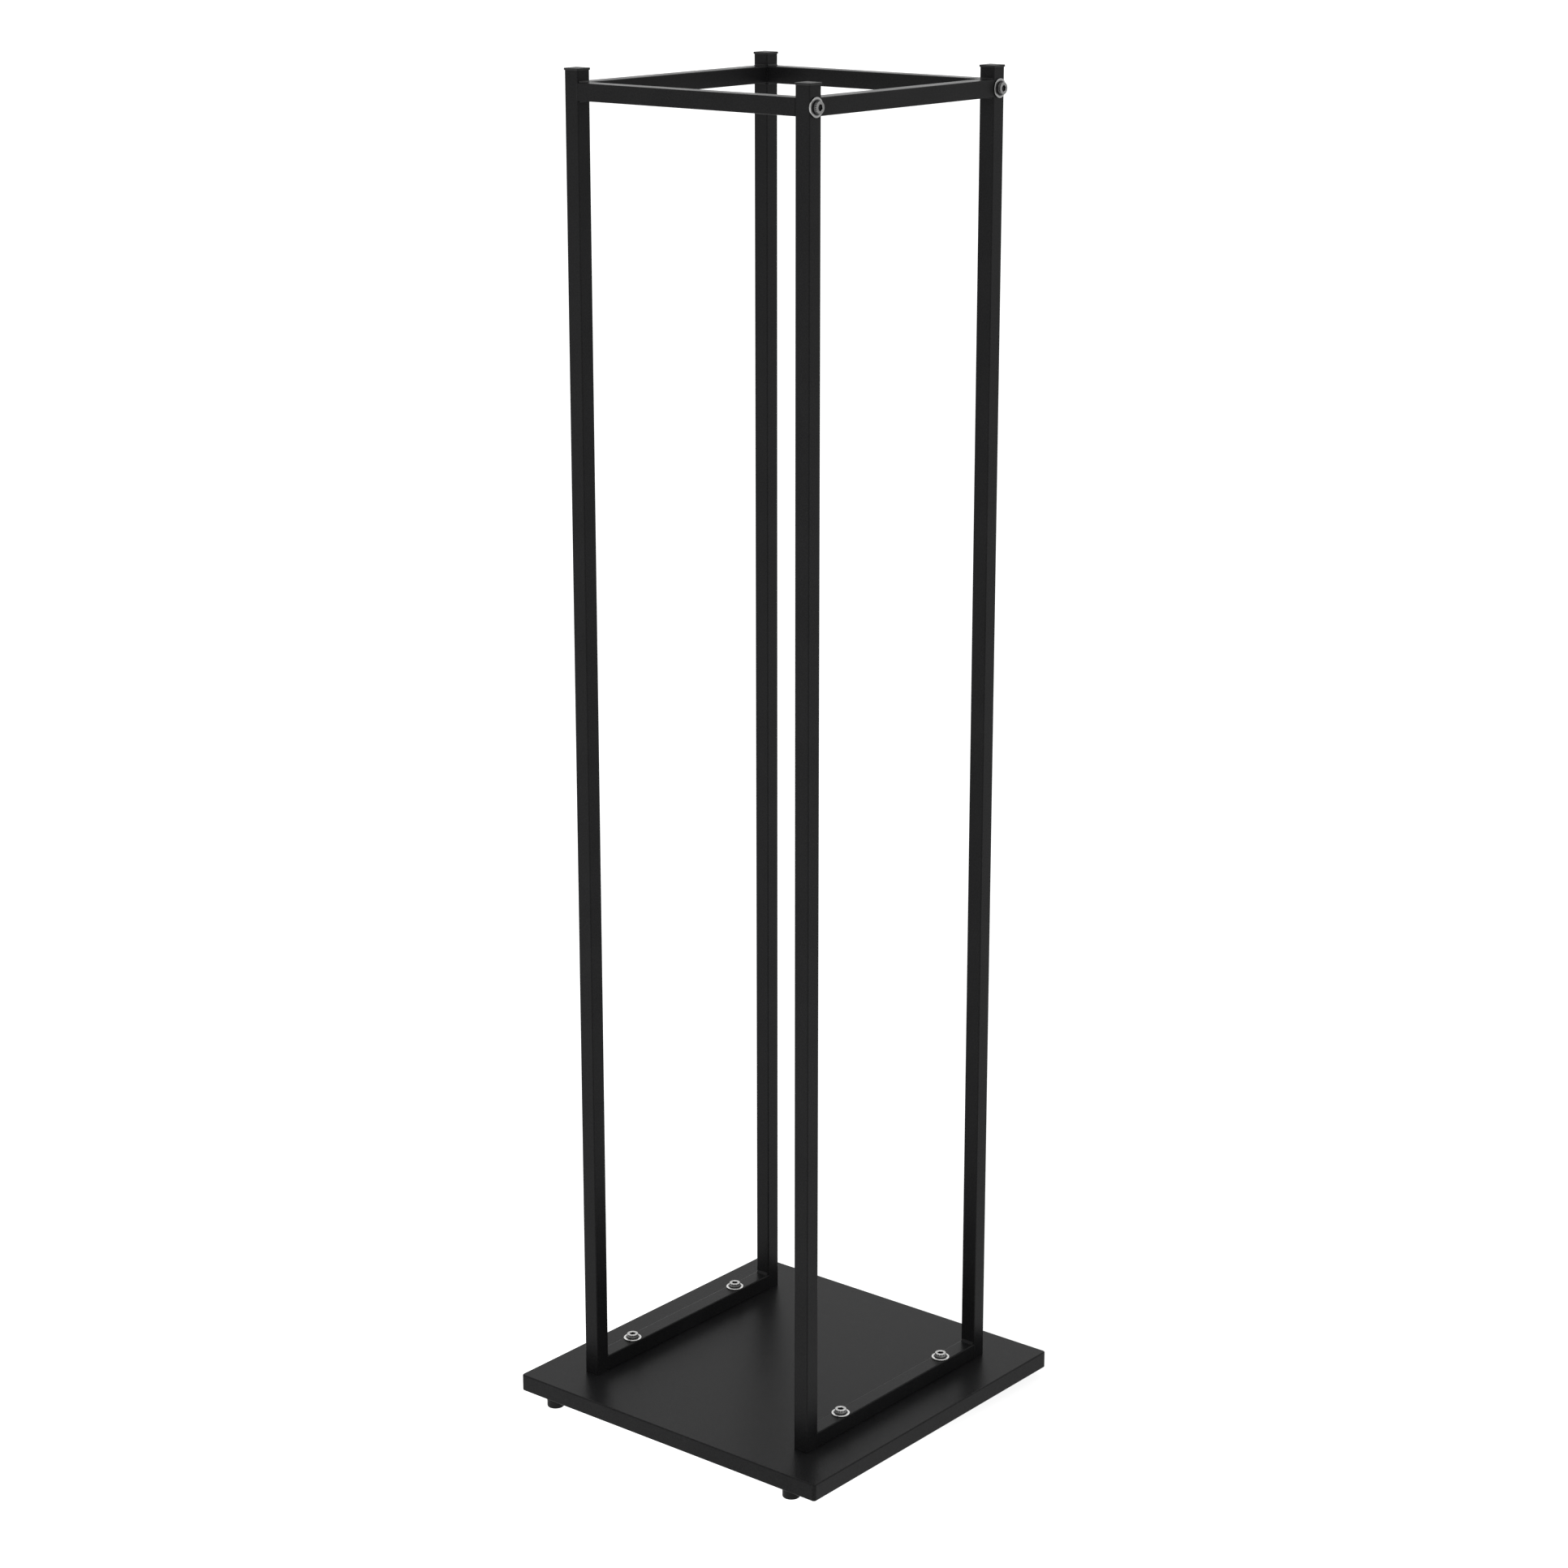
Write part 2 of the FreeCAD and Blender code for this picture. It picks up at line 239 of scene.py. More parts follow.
def shell(points, ends, recess=None):
    """Vertices, faces and recess values of a grid of points, rows by columns.

    The columns close round on themselves. With ends "loop" the rows close too, as on a
    ring; with "poles" the first and last rows are each closed by a fan to their mean
    point. The faces are turned over if the volume they enclose comes out negative. The
    recess, from 0 to 1, says how far out of the light and the polish each point lies.
    """
    rows, columns = points.shape[:2]
    vertices = points.reshape(-1, 3)
    recess = np.zeros((rows, columns)) if recess is None else recess
    shade = recess.reshape(-1)
    bands = rows if ends == "loop" else rows - 1
    row, column = np.meshgrid(np.arange(bands), np.arange(columns), indexing="ij")
    after = (column + 1) % columns
    below = (row + 1) % rows
    quads = np.stack([row * columns + column, row * columns + after,
                      below * columns + after, below * columns + column], -1)
    faces = [quads.reshape(-1, 4)]
    if ends == "poles":
        ring = np.arange(columns)
        turn = (ring + 1) % columns
        first = np.full(columns, len(vertices))
        base = (rows - 1) * columns
        vertices = np.vstack([vertices, points[0].mean(0), points[-1].mean(0)])
        shade = np.concatenate([shade, [recess[0].mean(), recess[-1].mean()]])
        faces.append(np.stack([turn, ring, first], -1))
        faces.append(np.stack([base + ring, base + turn, first + 1], -1))
    volume = 0.0
    for group in faces:
        corner = vertices[group]
        for step in range(1, group.shape[1] - 1):
            volume += (corner[:, 0] * np.cross(corner[:, step], corner[:, step + 1])).sum()
    if volume < 0:
        faces = [group[:, ::-1] for group in faces]
    return vertices, faces, shade


def piece(name, shells, material, slot, *replaced):
    faces = []
    offset = 0
    for corner, groups, _ in shells:
        for group in groups:
            faces.extend((group + offset).tolist())
        offset += len(corner)
    mesh = bpy.data.meshes.new(name)
    mesh.from_pydata(np.vstack([corner for corner, _, _ in shells]).tolist(), [], faces)
    mesh.polygons.foreach_set("use_smooth", np.ones(len(mesh.polygons), bool))
    shade = mesh.attributes.new("recess", "FLOAT", "POINT")
    shade.data.foreach_set("value", np.concatenate([values for _, _, values in shells]))
    mesh.materials.append(material)
    body = bpy.data.objects.new(name, mesh)
    bpy.context.scene.collection.objects.link(body)
    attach(body, "root")
    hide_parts(*replaced)
    return body


def turned(profile, around=AROUND):
    """A profile of (radius, height) rows spun about the Z axis:
    x = r cos t, y = r sin t, z = h, for t once round."""
    radius, height = np.array(profile, float).T
    angle = np.arange(around) * 2 * np.pi / around
    x = radius[:, None] * np.cos(angle)
    y = radius[:, None] * np.sin(angle)
    z = np.repeat(height[:, None], around, 1)
    return np.stack([x, y, z], -1)


def bend(centre_r, centre_z, radius, start, stop, steps=6):
    """Points of a rounded edge in a profile, angles in degrees from +r towards +z."""
    angle = np.radians(np.linspace(start, stop, steps))
    return np.stack([centre_r + radius * np.cos(angle), centre_z + radius * np.sin(angle)], -1)


def centre_of(node_name):
    """Middle of a node's box."""
    low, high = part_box(node_name)
    return (low + high) / 2


def foot_profile(radius, height):
    """Closed outline: the side tapers straight less half a sine for the mould's waist, then
    a rounded floor edge, the counterbore, the screw hole and the flat top."""
    share = np.linspace(0.0, 1.0, FOOT_SIDE_RINGS)
    waist = FOOT_WAIST * np.sin(np.pi * share)
    side = np.stack([radius - share * FOOT_TAPER - waist,
                     height - share * (height - FOOT_ROUNDING)], -1)
    floor = bend(radius - FOOT_TAPER - FOOT_ROUNDING, FOOT_ROUNDING, FOOT_ROUNDING, 0, -90)
    lead = bend(FOOT_BORE_R + FOOT_LEAD, FOOT_LEAD, FOOT_LEAD, 270, 180)
    inside = [(FOOT_BORE_R, FOOT_BORE_DEPTH), (FOOT_HOLE_R, FOOT_BORE_DEPTH),
              (FOOT_HOLE_R, height)]
    return np.vstack([side, floor[1:], lead, inside])


rubber = Finish("foot_rubber")
rubber_grain = rubber.noise(RUBBER_GRAIN, 3.0)
rubber_bloom = rubber.noise(RUBBER_CLOUD, 3.0)
foot_rubber = rubber.skin({
    "Base Color": rubber.blend(rubber_bloom, RUBBER_BLACK, RUBBER_BLOOM),
    "Roughness": RUBBER_ROUGHNESS + (rubber_bloom - 0.5) * 0.2,
    "Normal": rubber.relief(rubber_grain, RUBBER_RELIEF),
    "Specular IOR Level": RUBBER_SPECULAR})

for place in PLACES:
    name = "foot_" + place
    low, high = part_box(name)
    middle = centre_of(name)
    outline = foot_profile((high.x - low.x) / 2, high.z - low.z)
    spun = turned(outline) + np.array([middle.x, middle.y, low.z])
    piece("rubber_" + name, [shell(spun, "loop")], foot_rubber, "foot_rubber", name)


# ---------------------------------------------------------------- side frames
# Two welded ladders of 15 mm square tube: posts, a rail on the tray and a rail at the top.
# They are coated after welding, so the powder runs over tube and weld alike.

TUBE_ROUGHNESS = 0.31

tube_coat = powder_coat("tube_powder_coat", TUBE_ROUGHNESS)

for place in PLACES:
    dress("post_" + place, tube_coat)
for side in ("left", "right"):
    dress("bottom_rail_" + side, tube_coat)
    dress("top_rail_" + side, tube_coat)


# ---------------------------------------------------------------- welds
# A short fillet runs across each inner corner between a rail and a post, larger at the bottom.
# It is laid in small overlapping pools, which leave ripples that the powder softens. The flat
# joints at the sides of each bar are filled and ground flush before coating.

BEAD_LEG = 1.6 * MM
BOTTOM_BEAD_LEG = 2.4 * MM
BEAD_RIPPLE_PITCH = 1.2 * MM
BEAD_RIPPLE = 0.035 * MM
BEAD_SAG = 0.12 * MM
BEAD_WANDER = 0.10 * MM
BEAD_WAVES = ((9, 0.6), (23, 0.4))
BEAD_POOL = 1.6
BEAD_LEAN = 0.35
BEAD_END_FADE = 14
BEAD_END_LEG = 0.70
BEAD_FACE = 0.7
BEAD_STATIONS = 49
BEAD_ACROSS = 13


def weld_bead(corner, across, along, up, length, seed, leg=BEAD_LEG):
    """Fillet in the corner of a bar and a post, length long and centred on the corner.

    From the toe on the bar to the toe on the post the face runs straight, less a parabola
    for the sag, plus the ripple, a power of a cosine of the distance over the pitch, whose
    pools lean forward in the middle. The two toes wander by sums of two sines, and both
    legs shrink towards the ends as the root of the distance. The face slants at 45 degrees,
    so a bulge square to it adds the same share of itself to both legs.
    """
    walk = np.linspace(0.0, 1.0, BEAD_STATIONS)[:, None]
    side = np.linspace(0.0, 1.0, BEAD_ACROSS)[None, :]
    bow = side * (1 - side) * 4
    phase = walk * length / BEAD_RIPPLE_PITCH + BEAD_LEAN * bow + seed * 0.37
    ripple = np.abs(np.cos(np.pi * phase)) ** BEAD_POOL
    (slow, slow_share), (fast, fast_share) = BEAD_WAVES
    wander = np.sin(walk * slow + seed) * slow_share + np.sin(walk * fast + 2 * seed) * fast_share
    ends = np.clip(np.minimum(walk, 1 - walk) * BEAD_END_FADE, 0, 1) ** 0.5
    full = BEAD_END_LEG + (1 - BEAD_END_LEG) * ends
    leg_bar = (leg - BEAD_WANDER + BEAD_WANDER * wander) * full
    leg_post = (leg - BEAD_WANDER - BEAD_WANDER * wander) * full
    bulge = (np.sqrt(bow) * ripple * BEAD_RIPPLE - bow * BEAD_SAG) * ends * BEAD_FACE
    root = np.zeros((BEAD_STATIONS, 1))
    out_bar = np.hstack([leg_bar * (1 - side) + bulge, root])[..., None]
    out_post = np.hstack([leg_post * side + bulge, root])[..., None]
    run = np.repeat((walk - 0.5) * length, BEAD_ACROSS + 1, 1)[..., None]
    points = np.array(corner) + run * np.array(across) + out_bar * np.array(along)
    return shell(points + out_post * np.array([0.0, 0.0, up]), "poles")


SEAM_R = 1.0 * MM
SEAM_PROUD = 0.02 * MM
SEAM_LAP = 0.3 * MM
SEAM_SUNK = 0.06 * MM
SEAM_EDGE = (65, 50, 35, 20, 8, 0)
SEED_STEP = 1.3


def ground_seam(corner, along, outward, bottom, top):
    """Weld metal ground flush in the groove beside a bar's end, where the post's edge is
    round. In plan it is a square of the edge radius, lapping a little onto both faces,
    less a quarter disc that lies just under the post's own surface. It is carried
    straight up from bottom to top, and near both its face drops back as the bar's own
    rounded edge does, by the radius times one less the cosine of the edge's angle."""
    edge = np.radians(SEAM_EDGE)
    levels = np.concatenate([bottom + SEAM_R * (1 - np.sin(edge)),
                             top - SEAM_R * (1 - np.sin(edge[::-1]))])
    drop = SEAM_R * (1 - np.cos(np.concatenate([edge, edge[::-1]])))[:, None]
    turn = np.linspace(0, np.pi / 2, 6)
    reach = SEAM_R - SEAM_SUNK
    outer_a = [-SEAM_R - 2 * SEAM_LAP, -SEAM_R - SEAM_LAP, SEAM_LAP, 2 * SEAM_LAP]
    outer_o = np.array([-SEAM_PROUD, SEAM_PROUD, SEAM_PROUD, -SEAM_PROUD])
    a = np.concatenate([outer_a, reach * np.cos(turn) - SEAM_R])
    under = np.minimum(reach * np.sin(turn) - SEAM_R, -drop - 2 * SEAM_PROUD)
    o = np.hstack([outer_o - drop, under])
    points = np.empty((len(levels), len(a), 3))
    points[..., :2] = corner + a[:, None] * np.array(along) + o[..., None] * np.array(outward)
    points[..., 2] = levels[:, None]
    return shell(points, "poles")


for side in ("left", "right"):
    low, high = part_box("welds_" + side)
    levels = ((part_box("bottom_rail_" + side)[1].z, 1, BOTTOM_BEAD_LEG),
              (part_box("top_rail_" + side)[1].z, 1, BEAD_LEG),
              (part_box("top_rail_" + side)[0].z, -1, BEAD_LEG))
    middle = (low.x + high.x) / 2
    seed = 1.0 if side == "left" else 4.0
    beads = []
    for y, toward in ((low.y, 1.0), (high.y, -1.0)):
        for z, up, leg in levels:
            beads.append(weld_bead((middle, y, z), (1.0, 0.0, 0.0), (0.0, toward, 0.0), up,
                                   high.x - low.x, seed, leg))
            seed += SEED_STEP
    for rail in ("bottom_rail_", "top_rail_"):
        bar_low, bar_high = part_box(rail + side)
        for y, toward in ((bar_low.y, 1.0), (bar_high.y, -1.0)):
            for x, out in ((bar_low.x, -1.0), (bar_high.x, 1.0)):
                beads.append(ground_seam((x, y), (0.0, toward), (out, 0.0),
                                         bar_low.z, bar_high.z))
    piece("weld_beads_" + side, beads, tube_coat, "weld_paint", "welds_" + side)


# ---------------------------------------------------------------- crossbars
# A front and a rear bar of the same tube tie the side frames together at the top. Their left
# ends are welded to the left posts. A threaded plug closes each right end, and a screw
# through the right post pulls the bar up tight.

for end in ("front", "rear"):
    dress("crossbar_" + end, tube_coat)

low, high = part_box("crossbar_welds")
beads = []
seed = 7.0
for end in ("front", "rear"):
    bar_low, bar_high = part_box("crossbar_" + end)
    middle = (bar_low.y + bar_high.y) / 2
    length = 2 * (high.y - middle) if end == "rear" else 2 * (middle - low.y)
    for z, up in ((bar_high.z, 1), (bar_low.z, -1)):
        beads.append(weld_bead((low.x, middle, z), (0.0, 1.0, 0.0), (1.0, 0.0, 0.0), up,
                               length, seed))
        seed += SEED_STEP
    for y, out in ((bar_low.y, -1.0), (bar_high.y, 1.0)):
        beads.append(ground_seam((bar_low.x, y), (1.0, 0.0), (0.0, out),
                                 bar_low.z, bar_high.z))
piece("weld_beads_crossbars", beads, tube_coat, "weld_paint", "crossbar_welds")

STEEL = (0.30, 0.30, 0.30)
STEEL_HIGH = (0.46, 0.46, 0.45)
STEEL_ROUGHNESS = 0.38
MILL_MARKS = 2.5 * MM
MILL_DEPTH = 0.01 * MM

steel = Finish("plug_steel")
mill = steel.noise(MILL_MARKS, 4.0, (0.15, 1.0, 1.0))
plug_steel = steel.skin({
    "Base Color": steel.blend(mill, STEEL, STEEL_HIGH),
    "Metallic": 1.0,
    "Roughness": STEEL_ROUGHNESS + (mill - 0.5) * 0.25,
    "Normal": steel.relief(mill, MILL_DEPTH)})

for end in ("front", "rear"):
    dress("crossbar_plug_" + end, plug_steel)


# ---------------------------------------------------------------- washers
# Large stamped washers under every screw, zinc plated. The punch rounds the upper edges a
# little and leaves the lower ones sharp. The plating is bright with faint clouding, and the two
# at the top get a darker copy of it than the four at the base, which is painted shade.

ZINC = (0.52, 0.52, 0.515)
ZINC_HIGH = (0.74, 0.74, 0.73)
# painted shade: a darker copy of the same zinc for the two washers and screws at the top
ZINC_TOP_SHADED = (0.24, 0.24, 0.238)
ZINC_TOP_SHADED_HIGH = (0.37, 0.37, 0.366)
# painted shade: the near-black colour the zinc is darkened to where its recess value is high
ZINC_SHADE = (0.020, 0.020, 0.021)
WASHER_BORE_R = 3.2 * MM
WASHER_ROUND = 0.35 * MM
WASHER_BURR = 0.10 * MM
WASHER_RINGS = 12
WASHER_ROUGHNESS = 0.24
ZINC_CRYSTAL = 0.5 * MM
ZINC_CLOUD = 3.0 * MM
ZINC_SCRATCH = 0.35 * MM
ZINC_SCRATCH_STRETCH = (1.0, 0.12, 1.0)
ZINC_SCRATCH_SPAN = (0.62, 0.75)
ZINC_RELIEF = 0.006 * MM


def zinc_plate(name, roughness, low, high):
    """Bright zinc: fine crystals, slow clouding and light scratches, and painted shade in recesses.
    """
    plate = Finish(name)
    recess = plate.attribute("recess")
    crystal = plate.pits(ZINC_CRYSTAL)
    cloud = plate.noise(ZINC_CLOUD, 3.0)
    scratch = plate.stepped(plate.noise(ZINC_SCRATCH, 2.0, ZINC_SCRATCH_STRETCH),
                            *ZINC_SCRATCH_SPAN)
    # painted shade: the recess value darkens the zinc's colour and roughens it
    return plate.skin({
        "Base Color": plate.blend(recess, plate.blend(cloud, low, high), ZINC_SHADE),
        "Metallic": 1.0,
        "Roughness": roughness + (cloud - 0.5) * 0.12 + scratch * 0.08 + recess * 0.25,
        "Normal": plate.relief(crystal * 0.5 + scratch * 0.5, ZINC_RELIEF)})


# the two top washers take the darker copy of the zinc, painted shade
washer_zinc = {"base": zinc_plate("base_washer_zinc", WASHER_ROUGHNESS, ZINC, ZINC_HIGH),
               "top": zinc_plate("top_washer_zinc_shaded", WASHER_ROUGHNESS, ZINC_TOP_SHADED, ZINC_TOP_SHADED_HIGH)}


def faced(points, axis, centre):
    """Turns points that were built about +Z so that +Z points along an axis, and moves them.
    The third axis is the cross product of the other two, so nothing is mirrored."""
    forward = np.array(axis, float)
    side = np.array([0.0, 1.0, 0.0]) if abs(forward[1]) < 0.5 else np.array([1.0, 0.0, 0.0])
    third = np.cross(forward, side)
    return points @ np.stack([side, third, forward]) + np.array(centre)


def washer_profile(outer, thickness):
    """Closed outline of the ring: rounded above, nearly sharp below."""
    above = thickness - WASHER_ROUND
    outside = bend(outer - WASHER_ROUND, above, WASHER_ROUND, 0, 90)
    face = np.linspace(outer - 2 * WASHER_ROUND, WASHER_BORE_R + 2 * WASHER_ROUND, WASHER_RINGS)
    inside = bend(WASHER_BORE_R + WASHER_ROUND, above, WASHER_ROUND, 90, 180)
    below = [(WASHER_BORE_R, WASHER_BURR), (WASHER_BORE_R + WASHER_BURR, 0.0),
             (outer - WASHER_BURR, 0.0), (outer, WASHER_BURR)]
    flat = np.stack([face, np.full(WASHER_RINGS, thickness)], -1)
    return np.vstack([outside, flat, inside, below])


# every screw's place in the node names, the way its head faces, its length in millimetres
# under the head, and how far it happens to be turned, in degrees
SCREWS = (("base_{}_left_front", (0.0, 0.0, 1.0), 25.0, 11.0),
          ("base_{}_left_rear", (0.0, 0.0, 1.0), 25.0, 38.0),
          ("base_{}_right_front", (0.0, 0.0, 1.0), 25.0, 52.0),
          ("base_{}_right_rear", (0.0, 0.0, 1.0), 25.0, 24.0),
          ("top_{}_front", (1.0, 0.0, 0.0), 30.0, 14.0),
          ("top_{}_rear", (1.0, 0.0, 0.0), 30.0, 47.0))


def seat_of(node_name, axis):
    """Point on the axis of a washer where it meets what it is clamped to."""
    low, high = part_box(node_name)
    half = np.abs(np.array(high - low)) / 2
    return np.array(centre_of(node_name)) - np.array(axis) * half


# painted shade: a dark ring on each washer round the foot of the head, fading outwards
WASHER_SHADE_R = 5.9 * MM
WASHER_SHADE_FADE = 1.3 * MM

for place, axis, _, _ in SCREWS:
    name = place.format("washer")
    low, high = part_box(name)
    spans = sorted(high - low)
    ring = turned(washer_profile(spans[2] / 2, spans[0]))
    reach = np.hypot(ring[..., 0], ring[..., 1])
    # painted shade round the head, handed to the zinc as the washer's recess value
    painted_shade = np.clip((WASHER_SHADE_R + WASHER_SHADE_FADE - reach) / WASHER_SHADE_FADE, 0, 1)
    ring = faced(ring, axis, seat_of(name, axis))
    piece("zinc_" + name, [shell(ring, "loop", painted_shade)], washer_zinc[place.split("_")[0]],
          "zinc_washer", name)


# ---------------------------------------------------------------- screws
# Low cylinder-head M6 screws with a 5 mm hexagon socket. The head is cold formed and the upper
# part of its flank is knurled, the thread is rolled, and the whole screw is zinc plated. Painted
# shade, with some dirt in the socket, darkens the socket, the underside and flank of the head,
# the valleys of the knurl and its flat top.

HEAD_R = 5.25 * MM
HEAD_H = 3.8 * MM
HEAD_ROUND = 0.65 * MM
KNURLS = 20
KNURL_DEPTH = 0.34 * MM
KNURL_FOOT = 0.38
KNURL_CLIMB = 0.15
HEAD_AROUND = KNURLS * 12
HEAD_CHAMFER = 0.5 * MM
HEAD_LAND_R = 1.0 * MM
# painted shade on the head: at its foot, up its flank and in the knurl's valleys
FOOT_SHADE = 0.75
FLANK_SHADE = 0.30
VALLEY_SHADE = 0.8
FLANK_RINGS = 10
CROWN_RINGS = 8
SOCKET_AF = 5.0 * MM
SOCKET_DEPTH = 2.3 * MM
SOCKET_LEAD = 0.25 * MM
SOCKET_DRILL_R = 0.4 * MM
# painted shade down the socket's rings, and on the head's flat top
SOCKET_SHADE = (0.45, 0.85, 1.0, 1.0, 1.0)
HEAD_TOP_SHADE = 0.35
SHANK_R = 3.0 * MM
THREAD_PITCH = 1.0 * MM
THREAD_DEPTH = 0.5 * MM
THREAD_ROUNDING = 0.8
THREAD_NECK = 1.5 * MM
THREAD_TIP = 0.8 * MM
THREAD_TIP_DROP = 0.7 * MM
THREAD_AROUND = 48
THREAD_STEPS = 10
SHANK_LAP = 0.2 * MM
SCREW_ROUGHNESS = 0.20


def head_shell(turn):
    """Screw head as rings from the middle of its underside to the socket's floor.

    Outside, the radius is the profile's less the knurl, a raised cosine in the angle whose
    share falls to nothing over the rounded edges and towards the plain foot of the head.
    Inside, it is the hexagon's, half the flats over the cosine of the angle folded into
    one sixth of a turn. Painted shade darkens the underside fully, the flank more towards its
    foot, the knurl's valleys, the flat top a little and the socket most.
    """
    angle = np.arange(HEAD_AROUND) * 2 * np.pi / HEAD_AROUND
    folded = (angle + np.pi / 6) % (np.pi / 3) - np.pi / 6
    hexagon = SOCKET_AF / 2 / np.cos(folded)
    valley = 0.5 - 0.5 * np.cos(KNURLS * angle)
    under = [(HEAD_LAND_R, 0.0), (HEAD_R - HEAD_CHAMFER, 0.0),
             (HEAD_R - 0.15 * MM, 0.06 * MM)]
    flank_z = np.linspace(HEAD_CHAMFER / 2, HEAD_H - HEAD_ROUND, FLANK_RINGS)
    flank = np.stack([np.full(FLANK_RINGS, HEAD_R), flank_z], -1)
    crown = bend(HEAD_R - HEAD_ROUND, HEAD_H - HEAD_ROUND, HEAD_ROUND, 12, 90, CROWN_RINGS)
    profile = np.vstack([under, flank, crown])
    climb = np.clip((flank_z / HEAD_H - KNURL_FOOT) / KNURL_CLIMB, 0, 1)
    fade = np.linspace(0.9, 0.0, CROWN_RINGS)
    share = np.concatenate([np.zeros(len(under)), climb, fade])[:, None]
    outer_r = profile[:, :1] - KNURL_DEPTH * valley * share
    outer_z = np.repeat(profile[:, 1:], HEAD_AROUND, 1)
    # painted shade: how far each ring of the head is darkened
    shaded = np.concatenate([np.ones(len(under)), FOOT_SHADE - (FOOT_SHADE - FLANK_SHADE) * climb,
                             HEAD_TOP_SHADE * np.linspace(0, 1, CROWN_RINGS)])[:, None]
    outer_d = np.clip(shaded + valley * share * VALLEY_SHADE, 0, 1)
    lip = SOCKET_AF / 2 / np.cos(np.pi / 6) + SOCKET_LEAD
    floor_z = HEAD_H - SOCKET_DEPTH
    level = np.ones(HEAD_AROUND)
    inner_r = np.stack([lip * level, hexagon, hexagon, hexagon, hexagon,
                        SOCKET_DRILL_R * level])
    inner_z = np.stack([HEAD_H * level, HEAD_H - (lip - hexagon) * 0.55,
                        (HEAD_H - SOCKET_DEPTH * 0.25) * level,
                        (HEAD_H - SOCKET_DEPTH * 0.6) * level, floor_z * level,
                        (floor_z - 0.5 * MM) * level])
    inner_d = np.array([HEAD_TOP_SHADE, *SOCKET_SHADE])[:, None] * level
    radius = np.vstack([outer_r, inner_r])
    height = np.vstack([outer_z, inner_z])
    spun = angle + np.radians(turn)
    points = np.stack([radius * np.cos(spun), radius * np.sin(spun), height], -1)
    return points, np.vstack([outer_d, inner_d])


def thread_shell(length):
    """Rolled thread: the radius falls from the crest by the depth times a rounded saw of
    (height over pitch less the angle over a turn), and tapers in at the tip."""
    angle = np.arange(THREAD_AROUND) * 2 * np.pi / THREAD_AROUND
    count = int(round(length / THREAD_PITCH * THREAD_STEPS)) + 1
    height = np.linspace(-length, SHANK_LAP, count)[:, None]
    saw = (height / THREAD_PITCH - angle / (2 * np.pi)) % 1.0
    groove = (0.5 - 0.5 * np.cos(2 * np.pi * saw)) ** THREAD_ROUNDING
    tip = np.clip((height + length) / THREAD_TIP, 0, 1)
    neck = np.clip(-height / THREAD_NECK, 0, 1)
    radius = SHANK_R - THREAD_DEPTH * groove * neck - THREAD_TIP_DROP * (1 - tip)
    return np.stack([radius * np.cos(angle), radius * np.sin(angle),
                     np.repeat(height, THREAD_AROUND, 1)], -1)


# the two top screws take the darker copy of the zinc, painted shade
screw_zinc = {"base": zinc_plate("base_screw_zinc", SCREW_ROUGHNESS, ZINC, ZINC_HIGH),
              "top": zinc_plate("top_screw_zinc_shaded", SCREW_ROUGHNESS, ZINC_TOP_SHADED, ZINC_TOP_SHADED_HIGH)}

for place, axis, length, turn in SCREWS:
    washer = place.format("washer")
    low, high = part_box(washer)
    under_head = seat_of(washer, axis) + np.array(axis) * min(high - low)
    # the head's painted shade goes to the zinc as its recess value
    head, painted_shade = head_shell(turn)
    head = shell(faced(head, axis, under_head), "poles", painted_shade)
    shank = shell(faced(thread_shell(length * MM), axis, under_head), "poles")
    name = place.format("screw")
    piece("zinc_" + name, [head, shank], screw_zinc[place.split("_")[0]], "zinc_screw", name)


# ---------------------------------------------------------------- nuts and foot screws
# Plain hexagon nuts sit under the tray's top sheet, and smaller ones inside its flange, with
# pan-head screws up through the feet. All are zinc plated and seen only from below.

NUT_ROUGHNESS = 0.28

nut_zinc = zinc_plate("nut_zinc", NUT_ROUGHNESS, ZINC, ZINC_HIGH)

for place in PLACES:
    dress("base_nut_" + place, nut_zinc)
    dress("foot_nut_" + place, nut_zinc)
    dress("foot_screw_" + place, screw_zinc["base"])


# ---------------------------------------------------------------- end caps
# Push-in caps moulded in black polyethylene close the tops of the posts. Each has a thin
# square flange over the tube's end, a very slightly domed top and a hollow leg in the bore.

CAP_CORNER = 0.9 * MM
CAP_EDGE = 0.30 * MM
CAP_CROWN = 0.30 * MM
CAP_CROWN_POWER = 2.2
CAP_LEG_HALF = 5.9 * MM
CAP_LEG_CORNER = 0.6 * MM
CAP_LEG_WALL = 1.2 * MM
CAP_AROUND = 96
CAP_CORNER_STEPS = 128
CAP_LIP = 0.30 * MM
PLASTIC_GRAIN = 0.45 * MM
PLASTIC_CLOUD = 7 * MM
PLASTIC_BLACK = (0.008, 0.008, 0.0082)
PLASTIC_SPARK = (0.016, 0.016, 0.0162)
PLASTIC_ROUGHNESS = 0.46
PLASTIC_SPECULAR = 0.14
PLASTIC_RELIEF = 0.03 * MM

moulded = Finish("cap_plastic")
spark = moulded.noise(PLASTIC_GRAIN, 3.0)
sheen = moulded.noise(PLASTIC_CLOUD, 2.0)
cap_plastic = moulded.skin({
    "Base Color": moulded.blend(spark, PLASTIC_BLACK, PLASTIC_SPARK),
    "Roughness": PLASTIC_ROUGHNESS + (sheen - 0.5) * 0.15 + (spark - 0.5) * 0.1,
    "Normal": moulded.relief(spark, PLASTIC_RELIEF),
    "Specular IOR Level": PLASTIC_SPECULAR})


